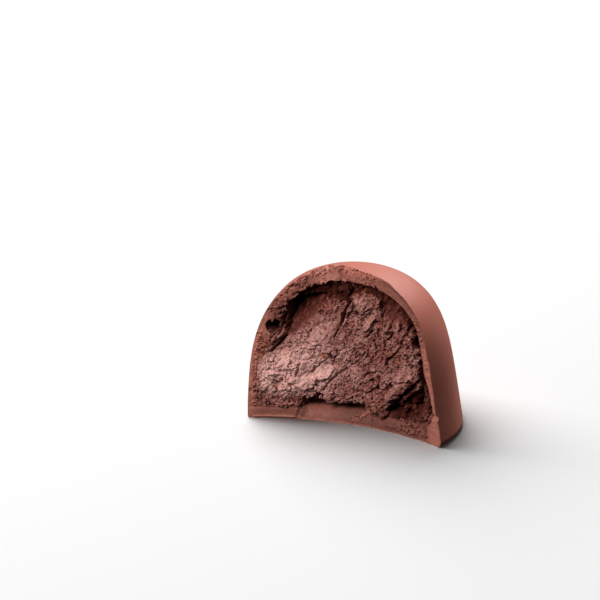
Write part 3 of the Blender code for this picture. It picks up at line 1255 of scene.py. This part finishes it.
    lumps: Sequence[Oval] = (
        Oval((-10.5, 8.0), (5.0, 4.6), 0.0, -1.2),
        Oval((-4.8, 14.2), (3.8, 3.2), 20.0, -0.6),
        Oval((1.8, 20.6), (1.2, 2.0), -40.0, -0.4, 2.5),
        Oval((-11.8, 18.3), (0.9, 0.9), 0.0, -0.8, 3.0),
        Oval((-13.7, 13.6), (0.9, 2.2), -14.0, -0.6, 2.0),
        Oval((-12.0, 14.9), (0.9, 1.6), -20.0, -0.5, 2.0),
        Oval((10.6, 6.2), (1.3, 0.9), 40.0, -0.6, 3.0),
        Oval((9.4, 4.2), (0.9, 0.7), 20.0, -0.6, 2.5),
    )
    smears: Sequence[Flake] = (
        Flake((-6.9, 6.9), (1.9, 1.25), 44.0, 0.7, -1.0),
        Flake((-4.5, 8.5), (2.0, 1.2), 36.0, 0.6, -1.0),
        Flake((-7.3, 9.3), (2.4, 0.95), 38.0, 0.55),
        Flake((-11.8, 7.5), (1.75, 1.0), 4.0, 0.6),
        Flake((-8.1, 11.2), (1.7, 1.2), 62.0, 0.5),
        Flake((-10.4, 10.7), (1.9, 0.9), 78.0, 0.4, -1.0),
        Flake((-5.0, 14.8), (2.9, 1.8), 50.0, 0.3, -1.0),
        Flake((-3.7, 12.6), (1.2, 0.8), 30.0, 0.4),
        Flake((3.1, 17.9), (1.95, 0.62), 56.0, 0.8, -1.0),
        Flake((1.2, 21.2), (1.6, 0.7), 50.0, 0.5),
        Flake((8.0, 7.0), (2.9, 1.1), 42.0, 0.8, -1.0),
        Flake((9.4, 10.4), (2.6, 1.3), 30.0, 0.6, -1.0),
        Flake((5.5, 8.4), (0.85, 0.5), 70.0, 0.6),
        Flake((0.9, 9.1), (1.3, 0.95), 10.0, 0.45),
        Flake((11.8, 14.5), (1.15, 0.5), 50.0, 0.8),
        Flake((8.2, 17.3), (1.1, 0.45), 70.0, 0.5),
        Flake((-13.9, 8.2), (2.0, 0.7), 52.0, 0.4),
        Flake((-13.2, 5.4), (0.9, 0.6), 60.0, 0.4),
    )
    cracks: Sequence[Crack] = (
        Crack(((-0.1, 22.4), (-0.5, 20.8), (-1.4, 18.4), (-1.7, 16.9)), 0.38, 1.5),
        Crack(((-1.7, 16.9), (-2.5, 15.6), (-2.6, 14.4)), 0.26, 0.4),
        Crack(((12.9, 12.9), (13.3, 10.4), (14.4, 7.6), (15.0, 5.2)), 0.9, 3.2),
        Crack(((12.4, 10.0), (10.7, 8.1), (9.3, 6.6), (7.6, 4.8)), 0.45, 1.2),
        Crack(((-13.0, 11.6), (-11.8, 12.8), (-10.7, 14.3)), 0.34, 1.6),
        Crack(((-11.1, 15.9), (-11.1, 17.0), (-10.9, 18.4)), 0.34, 2.6),
        Crack(((5.1, 21.6), (5.2, 20.4), (5.7, 18.8)), 0.40, 2.2),
        Crack(((4.9, 17.0), (4.8, 15.8)), 0.34, 0.7),
        Crack(((8.2, 13.8), (7.2, 12.9), (6.5, 12.2), (6.2, 11.2)), 0.34, 0.9),
        Crack(((9.8, 13.8), (10.6, 12.4), (11.2, 11.4)), 0.3, 0.63),
        Crack(((4.0, 14.8), (4.6, 13.3)), 0.3, 0.63),
        Crack(((0.3, 10.3), (1.7, 11.5), (3.0, 13.2)), 0.24, 0.3),
        Crack(((2.2, 8.5), (3.6, 9.4), (5.0, 10.0)), 0.3, 0.42),
        Crack(((5.2, 8.8), (4.9, 7.4), (4.0, 6.4), (3.0, 5.8)), 0.3, 0.56),
        Crack(((-2.2, 12.4), (-2.7, 11.0)), 0.26, 0.56),
        Crack(((-8.2, 9.8), (-8.3, 8.8), (-8.6, 7.8)), 0.24, 0.56),
        Crack(((-7.3, 7.6), (-6.3, 8.5), (-4.6, 10.2)), 0.19, 0.35),
        Crack(((-13.2, 8.7), (-12.0, 8.8), (-10.6, 8.5)), 0.19, 0.28),
        Crack(((-8.0, 12.5), (-7.2, 12.5), (-6.4, 12.3)), 0.17, 0.28),
        Crack(((-4.6, 5.4), (-3.6, 6.8), (-2.4, 8.0), (-0.6, 9.6)), 0.36, 0.45),
        Crack(((8.8, 18.5), (8.6, 17.6)), 0.26, 1.2),
        Crack(((10.3, 18.4), (10.0, 17.2)), 0.26, 1.2),
        Crack(((6.6, 15.6), (7.3, 17.0)), 0.24, 0.63),
        Crack(((9.0, 14.8), (8.4, 15.4), (8.2, 16.0)), 0.26, 0.56),
        Crack(((5.9, 15.6), (6.0, 14.4)), 0.26, 0.63),
        Crack(((-6.9, 13.5), (-5.8, 13.0), (-4.7, 13.2)), 0.21, 0.28),
        Crack(((2.9, 15.6), (3.6, 16.6)), 0.21, 0.49),
    )
    strands: Sequence[Crack] = (
        Crack(((-12.2, 14.2), (-11.5, 15.2), (-11.3, 16.2), (-11.5, 17.4)), 0.24, -0.6),
        Crack(((-12.8, 13.2), (-12.2, 13.9), (-11.0, 14.9), (-10.4, 16.6)), 0.34, -0.9),
        Crack(((-0.9, 18.4), (0.2, 20.2), (0.6, 21.6)), 0.28, -0.6),
        Crack(((1.6, 18.4), (3.2, 20.0)), 0.25, -0.4),
        Crack(((2.2, 19.6), (4.0, 21.4)), 0.25, -0.4),
        Crack(((6.2, 16.8), (6.9, 18.4)), 0.3, -0.5),
        Crack(((8.8, 15.6), (9.6, 17.6)), 0.3, -0.5),
        Crack(((9.0, 5.2), (9.7, 6.2), (10.9, 7.5), (12.2, 8.4)), 0.32, -1.3),
        Crack(((-13.9, 2.6), (-13.5, 3.4), (-12.6, 2.7), (-11.0, 2.4), (-8.6, 2.5)), 0.35, -0.5),
    )
    flakes: Sequence[Flakes] = (
        Flakes(90, (1.2, 2.4), (0.35, 0.60), (10.0, 70.0), (0.10, 0.30), 5, (-16.0, 2.0, 2.0, 15.0)),
        Flakes(130, (0.5, 1.3), (0.25, 0.45), (45.0, 85.0), (0.10, 0.30), 9, (-2.0, 9.0, 13.0, 24.0)),
        Flakes(60, (0.7, 1.8), (0.30, 0.60), (10.0, 70.0), (0.10, 0.35), 7, (0.0, 3.0, 14.0, 12.0)),
        Flakes(900, (0.3, 0.8), (0.40, 0.80), (0.0, 90.0), (0.06, 0.26), 6),
    )
    # Where it is painted lighter, as lit; less so; painted darker, as in shade; painted dark, as in
    # deep shade; or rusty
    painted_light_places: Sequence[Oval] = (
        Oval((-10.0, 7.6), (7.0, 4.6), 15.0, steepness=1.2),
        Oval((-5.2, 7.4), (3.4, 1.8), 38.0),
    )
    mild_places: Sequence[Oval] = (
        Oval((-4.6, 13.6), (5.5, 5.0), 30.0, steepness=1.0),
        Oval((2.2, 19.6), (2.6, 3.6), -32.0, steepness=1.0),
        Oval((10.8, 13.6), (2.4, 1.6), 30.0, steepness=1.0),
    )
    dim_shade_places: Sequence[Oval] = (
        Oval((-12.6, 3.1), (3.0, 1.6), steepness=2.0),
        Oval((-15.0, 5.4), (0.8, 3.2), steepness=2.0),
        Oval((-9.2, 3.4), (1.6, 0.9), steepness=2.0),
    )
    dark_shade_places: Sequence[Oval] = (
        Oval((10.4, 4.6), (4.8, 2.8), 24.0, steepness=2.0),
        Oval((13.9, 9.0), (1.2, 4.0), 14.0),
        Oval((9.6, 3.1), (3.4, 1.2), 10.0, steepness=3.0),
        Oval((-12.6, 16.0), (1.10, 1.25), 8.0, steepness=8.0),
    )
    rusty_places: Sequence[Oval] = (
        Oval((-11.8, 5.4), (0.35, 0.6), steepness=2.0),
        Oval((-4.4, 11.5), (0.6, 0.5), steepness=2.0),
        Oval((3.0, 23.2), (1.6, 0.5), steepness=2.0),
        Oval((11.2, 4.6), (0.6, 0.5), steepness=2.0),
        Oval((5.0, 4.4), (0.5, 0.4), steepness=2.0),
        Oval((-14.4, 12.0), (0.8, 2.6), -14.0, steepness=2.0),
    )

    def sunk(self, x: Numbers, z: Numbers) -> tuple[Numbers, Numbers, Numbers]:
        """Where it is sunk under the shell's crown.

        Returns:
            The shares of its slope above the brow, of the gap behind its crest and of the fringe
            of crumbs that hangs from the shell.
        """
        up = z + self.crown_wave.ground(x, z)
        brow = self.brow.height(x)
        crest = np.maximum(self.crest.height(x), brow + self.least_slope)
        slope = np.clip((up - brow) / (crest - brow), 0.0, 1.0)
        gap = smoothstep(*self.gap_edge, up - crest)
        ragged = self.fringe_ragged.ground(x, z)
        fringe = smoothstep(*self.fringe_edge, z + ragged - self.fringe.height(x))
        return slope, gap, fringe

    def undercut(self, x: Numbers, z: Numbers) -> Numbers:
        """How far its foot is torn back."""
        edge, (under, over) = self.foot.height(x), self.undercut_edge
        below = 1.0 - smoothstep(edge + under, edge + over, z + self.foot_ragged.ground(x, z))
        return self.undercut_depth * below * between(self.undercut_ends, self.undercut_fade, x)

    def forms(self, x: Numbers, z: Numbers) -> Numbers:
        """Its larger forms: the hollow round its brow, holes, lumps and the torn foot."""
        slope, gap, fringe = self.sunk(x, z)
        ramp = self.slope_depth.height(x)
        hollow = ramp * slope**self.slope_curve + (self.gap_depth.height(x) - ramp) * gap
        hanging = self.fringe_depth.height(x)
        hollow = hollow + (hanging - hollow) * fringe * smoothstep(0.0, 0.5, slope + gap)
        hollows = total(self.hollows, x, z) * beside_tip(x, z)
        shapes = hollows + total(self.lumps, x, z) + total(self.smears, x, z)
        wet = self.moist_relief.ground(x, z) * cover(self.dark_shade_places, x, z)
        return hollow + shapes + wet + self.undercut(x, z)

    def calm(self, x: Numbers, z: Numbers) -> Numbers:
        """1 where the filling was smeared smooth, and 0 where it is torn."""
        slope, _, fringe = self.sunk(x, z)
        smooth = smoothstep(*self.smooth_slope, slope) * (1.0 - fringe)
        smooth *= 1.0 - between(self.rough_ends, self.rough_fade, x)
        return np.maximum(self.slope_calm * smooth, self.smear_calm * cover(self.smears, x, z))

    def crumb(self, x: Numbers, z: Numbers) -> tuple[Numbers, Numbers]:
        """Its fine ground.

        Returns:
            Its depth without the larger forms, and how far each place is inside a pit or a crease.
        """
        torn = 1.0 - self.calm(x, z)
        upright = smoothstep(*self.upright_side, x + self.upright_lean * (z - self.upright_height))
        patch = smoothstep(-0.35, 0.45, self.patches.ground(x, z))
        lines = self.creases.share(x, z) * (0.35 + 0.65 * torn)
        round_pits = self.round_pits.share(x, z, torn * (0.40 + 0.35 * patch))
        long_pits = self.long_pits.share(x, z, torn * (0.55 + 0.25 * patch))
        streaks = self.streaks.ground(x, z) * (1.0 - torn)
        bare = 1.0 - 0.45 * cover(self.painted_light_places, x, z)
        holes = ((1.0 - 0.7 * upright) * round_pits + upright * long_pits) * bare
        fine = self.fine.ground(x, z) + (0.3 + 0.7 * upright) * self.fine_lines.ground(x, z)
        broken = np.maximum(0.35 * lines * bare, holes)
        ground = total(self.flakes, x, z) * (0.15 + 0.85 * torn) + fine * (0.25 + 0.75 * torn)
        return ground + streaks + 0.05 * lines * bare + 0.36 * holes, broken

    def warped(self, x: Numbers, z: Numbers) -> tuple[Numbers, Numbers]:
        """Places shifted a little, so that edges come out ragged."""
        return x + self.warp_across.ground(x, z), z + self.warp_up.ground(x, z)

    def face(self, x: Numbers, z: Numbers) -> Numbers:
        """How far its torn face lies behind the arc."""
        wx, wz = self.warped(x, z)
        lines = total(self.cracks, wx, wz) + total(self.strands, wx, wz)
        swells = self.swell_depth * (1.0 + self.swell.ground(x, z))
        ground, _ = self.crumb(wx, wz)
        return self.forms(wx, wz) + lines + swells + ground

    def holds(self, x: Numbers, y: Numbers, z: Numbers) -> Numbers:
        """Whether points lie in it, or just over the wall beside it."""
        return np.hypot(x, y) < self.form.cavity(0.0).radius_at(z) + self.crumb_reach

    def colours(self, x: Numbers, z: Numbers) -> dict[str, Numbers]:
        """What is painted on its points, by name, for the finish: paleness with painted light and
        painted shade, darkness as painted shade, its tears and its rust.
        """
        ground, broken = self.crumb(x, z)
        slope, gap, fringe = self.sunk(x, z)
        tones, hollows = self.tones, total(self.hollows, x, z)
        # Painted shade under the crown
        sunk = np.maximum(smoothstep(*tones.sunk_slopes, slope), gap)
        # Painted light on the lit lower left and on the smears
        dry = tones.even + tones.pale * cover(self.painted_light_places, x, z)
        dry += tones.mild * cover(self.mild_places, x, z) + tones.smeared * cover(self.smears, x, z)
        # Painted light on raised ground, and painted shade on recessed ground, in the dim places and
        # under the crown
        dry -= tones.relief * (ground + tones.level) + tones.dim * cover(self.dim_shade_places, x, z)
        dry -= tones.sunk * sunk
        # Dark painted shade in the fringe and gap under the crown, in pits, cracks and hollows
        hanging = fringe * smoothstep(*tones.hanging_depths, self.fringe_depth.height(x))
        deep = np.maximum.reduce([smoothstep(*tones.deep_slopes, slope), hanging, gap])
        below = tones.sunk_shade * sunk + tones.deep_shade * deep
        opened = np.maximum(tones.pit_shade * broken, tones.crack_shade * cover(self.cracks, x, z))
        hollowed = smoothstep(*tones.shaded_hollows, hollows)
        moist = np.maximum.reduce([cover(self.dark_shade_places, x, z), below, opened, hollowed])
        moist = moist * (1.0 - tones.spotted * smoothstep(0.0, 0.5, self.dry_spots.ground(x, z)))
        # The deepest hollows painted darkest, as shade
        moist = np.maximum(moist, smoothstep(*tones.darkest_shaded_hollows, hollows))
        rust = cover(self.rusty_places, x, z)
        return {"dry": dry, "moist": moist, "torn": 1.0 - self.calm(x, z), "rust": rust}

    def build(self, finish: bpy.types.Material) -> bpy.types.Object:
        """Makes the piece that stands for the CAD node filling."""
        cavity = self.form.cavity(self.overlap)
        body = self.form.cavity_body(self.overlap, self.segments, self.rings)
        heights = (cavity.bottom - self.margin, cavity.height + self.margin)
        block = self.bite.cutter(self.face, cavity.radius + self.side_margin, heights, self.cell)
        obj = carve("truffle_filling", body, (block,))
        places = corners_of(obj)
        x, y, z = places.T
        behind = y - self.bite.arc(x) - self.face(x, z)
        torn = 1.0 - smoothstep(*self.torn_limits, behind)
        inside = torn * smoothstep(*self.shiver_top, cavity.height - z)
        noise.seed_set(self.shiver_seed)
        points = [Vector(place) / self.shiver_grain for place in places.tolist()]
        shifts = np.array([noise.noise_vector(point) * self.shiver for point in points])
        move_corners(obj, (places + shifts * inside[:, None]) * MM)
        colours = self.colours(*self.warped(x, z))
        finish_piece(obj, finish, self.crease, colours)
        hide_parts("filling")
        return obj


@dataclass(frozen=True)
class Run:
    """Crumbs strewn along a line of points, and where they lie."""

    points: Sequence[Place]
    spread: float
    count: int
    sizes: Span
    sunk: float = 0.15
    lift: float = 0.0


@dataclass
class Crumbs:
    """Loose crumbs that cling to a torn face."""

    name: str
    bite: Bite
    face: Callable[[Numbers, Numbers], Numbers]
    holds: Callable[[Numbers, Numbers, Numbers], Numbers]
    colours: Callable[[Numbers, Numbers], dict[str, Numbers]]
    runs: Sequence[Run]
    slot: Slot
    seed: int
    coarse: float = 0.2
    crease: float = 70.0
    squashes: Span = (0.5, 1.3)
    bulges: Sequence[Place] = ((1.0, 0.75), (0.5, 0.35))

    def crumb(self, shape: bmesh.types.BMesh, middle: Vector, size: float, draw: random.Random) -> int:
        """Adds one lumpy crumb to a bmesh, and tells how many points it has."""
        axes = [Matrix.Scale(draw.uniform(*self.squashes), 4, axis) for axis in Matrix.Identity(3)]
        turn = Matrix.Rotation(draw.uniform(0.0, 2.0 * math.pi), 4, Vector(noise.random_unit_vector()))
        place = Matrix.Translation(middle) @ turn @ axes[0] @ axes[1] @ axes[2]
        steps = 3 if size > self.coarse else 2
        made = bmesh.ops.create_icosphere(shape, subdivisions=steps, radius=size, matrix=place)
        for vert in made["verts"]:
            bulge = Vector()
            for grain, push in self.bulges:
                bulge += noise.noise_vector(vert.co / (size * grain)) * push
            vert.co += bulge * size
        return len(made["verts"])

    def build(self, finish: bpy.types.Material) -> bpy.types.Object:
        """Makes all the crumbs as one piece."""
        noise.seed_set(self.seed)
        draw = random.Random(self.seed)
        shape = bmesh.new()
        places = []
        for run in self.runs:
            for _ in range(run.count):
                index = draw.randrange(len(run.points) - 1)
                (x0, z0), (x1, z1) = run.points[index : index + 2]
                share = draw.random()
                x = x0 + (x1 - x0) * share + draw.gauss(0.0, run.spread)
                z = z0 + (z1 - z0) * share + draw.gauss(0.0, run.spread)
                places.append((x, z, draw.uniform(*run.sizes), run.sunk, run.lift))
        x, z, sizes, sunk, lift = np.array(places).T
        y = self.bite.arc(x) + self.face(x, z + lift) + sunk
        kept = self.holds(x, y, z)
        middles = [Vector(place) for place in np.stack((x, y, z), axis=1)[kept].tolist()]
        counts = [self.crumb(shape, *crumb, draw) for crumb in zip(middles, sizes[kept])]
        obj = as_object(self.name, shape, MM)
        tones = self.colours(x[kept], z[kept])
        colours = {name: np.repeat(amounts, counts) for name, amounts in tones.items()}
        finish_piece(obj, finish, self.crease, colours)
        return obj


# The studio


class Lit(Enum):
    """What a light falls on."""

    TRUFFLE = "lit_truffle"
    TABLE = "lit_table"


@dataclass(frozen=True)
class Softbox:
    """A square area light that faces the truffle."""

    name: str
    azimuth: float
    elevation: float
    distance: float
    size: float
    watts: float
    lit: Lit = Lit.TRUFFLE

    def build(self, aim: Vector, receivers: dict[Lit, bpy.types.Collection]) -> None:
        """Hangs the light in the scene, over the collection that it lights."""
        light = bpy.data.lights.new(self.name, "AREA")
        light.energy = self.watts
        light.size = self.size
        obj = bpy.data.objects.new(self.name, light)
        obj.location = aim + direction(self.azimuth, self.elevation) * self.distance
        obj.rotation_euler = (aim - obj.location).to_track_quat("-Z", "Y").to_euler()
        obj.light_linking.receiver_collection = receivers[self.lit]
        bpy.context.scene.collection.objects.link(obj)


def direction(azimuth: float, elevation: float) -> Vector:
    """The way to something seen from the truffle, where azimuth 0 is -Y and 90 is +X."""
    turn, rise = math.radians(azimuth), math.radians(elevation)
    flat = math.cos(rise)
    return Vector((math.sin(turn) * flat, -math.cos(turn) * flat, math.sin(rise)))


@dataclass(frozen=True)
class Studio:
    """A white table, soft light and the camera."""

    azimuth: float = 22.1
    elevation: float = 20.0
    distance: float = 0.450
    aim: tuple[float, float, float] = (-0.02974, 0.05006, 0.0)
    lens: float = 145.3
    lit_middle: tuple[float, float, float] = (0.0, 0.0, 0.012)
    table_size: float = 4.0
    table_colour: Colour = (0.9, 0.9, 0.9, 1.0)
    table_roughness: float = 0.9
    room_light: float = 0.06
    softboxes: Sequence[Softbox] = (
        Softbox("key_softbox", -20.0, 38.0, 0.22, 0.10, 0.60),
        Softbox("back_softbox", 170.0, 46.0, 0.60, 0.28, 7.4),
        Softbox("table_softbox", -118.0, 48.0, 1.00, 1.20, 20.0, Lit.TABLE),
    )

    def build(self, pieces: Sequence[bpy.types.Object]) -> None:
        """Sets the camera, the lights, the table and the world round the finished pieces."""
        scene = bpy.context.scene
        camera = bpy.data.cameras.new("camera")
        camera.lens = self.lens
        camera.clip_start = 0.01
        eye = bpy.data.objects.new("camera", camera)
        aim = Vector(self.aim)
        eye.location = aim + direction(self.azimuth, self.elevation) * self.distance
        eye.rotation_euler = (aim - eye.location).to_track_quat("-Z", "Y").to_euler()
        scene.collection.objects.link(eye)
        scene.camera = eye
        receivers = {lit: bpy.data.collections.new(lit.value) for lit in Lit}
        for piece in pieces:
            receivers[Lit.TRUFFLE].objects.link(piece)
        receivers[Lit.TABLE].objects.link(self.table())
        for softbox in self.softboxes:
            softbox.build(Vector(self.lit_middle), receivers)
        self.world(scene)

    def table(self) -> bpy.types.Object:
        """Lays the white table, which throws no light back on the truffle."""
        shape = bmesh.new()
        bmesh.ops.create_grid(shape, x_segments=1, y_segments=1, size=self.table_size)
        table = as_object("studio_table", shape)
        graph = Graph("studio_white")
        white = graph.shade(Base_Color=self.table_colour, Roughness=self.table_roughness)
        table.data.materials.append(white)
        table.visible_diffuse = False
        table.visible_glossy = False
        return table

    def world(self, scene: bpy.types.Scene) -> None:
        """Lights the room evenly and dimly."""
        world = bpy.data.worlds.new("studio_world")
        world.use_nodes = True
        background = world.node_tree.nodes["Background"]
        background.inputs["Color"].default_value = (1.0, 1.0, 1.0, 1.0)
        background.inputs["Strength"].default_value = self.room_light
        scene.world = world
        scene.view_settings.view_transform = "Standard"


def rim_crumbs(shell: Shell) -> Crumbs:
    """Crumbs of chocolate on the snapped edge, most of them along its inner side."""
    crown = ((-6.5, 23.3), (-4.5, 23.5), (-2.0, 23.9), (1.0, 24.3), (3.5, 24.3))
    runs = (
        Run(crown, 0.35, 70, (0.12, 0.32), 0.2),
        Run(((-11.0, 20.1), (-9.0, 21.8), (-6.5, 23.4)), 0.22, 30, (0.10, 0.28), 0.2),
        Run(((-9.4, 23.0), (-7.0, 24.5), (-3.0, 25.3), (2.0, 25.4)), 0.35, 60, (0.08, 0.20), 0.0),
        Run(((2.0, 2.4), (3.0, 2.4)), 0.25, 7, (0.18, 0.38), 0.0),
        Run(((3.9, 1.0), (4.3, 2.2)), 0.15, 6, (0.12, 0.25), 0.0),
    )
    return Crumbs("rim_crumbs", shell.bite, shell.face, shell.holds, shell.colours, runs, Slot.SHELL, 3)


def filling_crumbs(filling: Filling) -> Crumbs:
    """Crumbs of filling along its torn foot, on the lump and in the hollows."""
    crown = ((-9.0, 21.3), (-6.0, 22.2), (-3.0, 22.4), (-0.6, 22.9), (1.0, 23.6))
    runs = (
        Run(crown, 0.45, 110, (0.10, 0.34)),
        Run(((0.6, 23.2), (4.4, 23.2)), 0.22, 34, (0.12, 0.28)),
        Run(((-13.0, 18.0), (-11.4, 18.6)), 0.35, 16, (0.12, 0.30)),
        Run(((-7.4, 3.9), (-6.3, 4.6), (-5.0, 4.4)), 0.22, 18, (0.14, 0.36), 0.25, 0.9),
        Run(((-4.4, 3.9), (-2.6, 3.7), (-1.0, 4.2), (2.0, 4.2)), 0.28, 60, (0.20, 0.52), 0.3, 0.9),
        Run(((2.0, 4.2), (4.0, 3.6), (5.0, 2.7), (6.2, 2.9)), 0.32, 60, (0.20, 0.50), 0.3, 0.9),
        Run(((-15.0, 2.7), (-12.0, 2.5), (-8.4, 2.6)), 0.25, 30, (0.12, 0.30), 0.2, 0.6),
        Run(((-15.1, 3.0), (-15.2, 7.0), (-14.9, 11.0)), 0.2, 60, (0.12, 0.32), 0.05),
        Run(((8.0, 5.4), (9.6, 6.6), (12.0, 8.8)), 0.4, 24, (0.14, 0.34)),
        Run(((8.0, 3.6), (11.0, 5.0), (13.0, 6.0)), 0.7, 30, (0.18, 0.5)),
        Run(((-4.6, 11.6), (-3.9, 11.2)), 0.12, 5, (0.14, 0.28)),
        Run(((-12.0, 6.4), (-11.8, 5.2)), 0.25, 5, (0.14, 0.24)),
        Run(((13.0, 12.6), (13.6, 10.6), (14.4, 8.6)), 0.2, 16, (0.12, 0.26)),
        Run(((-13.0, 4.0), (12.0, 16.0)), 3.0, 110, (0.09, 0.17), 0.03),
        Run(((-9.0, 14.0), (4.0, 7.0)), 3.0, 110, (0.09, 0.17), 0.03),
    )
    name, colours = "filling_crumbs", filling.colours
    return Crumbs(name, filling.bite, filling.face, filling.holds, colours, runs, Slot.FILLING, 4)


def main() -> None:
    """Builds the truffle and the studio."""
    logging.basicConfig(level=logging.INFO, format="%(name)s: %(message)s")
    form, bite = TruffleForm(), Bite()
    chocolate, ganache = ShellFinish().material(), FillingFinish().material()
    shell, filling = Shell(form, bite), Filling(form, bite)
    pieces = [
        shell.build(chocolate),
        filling.build(ganache),
        rim_crumbs(shell).build(chocolate),
        filling_crumbs(filling).build(ganache),
    ]
    Studio().build(pieces)


if __name__ == "__main__":
    main()
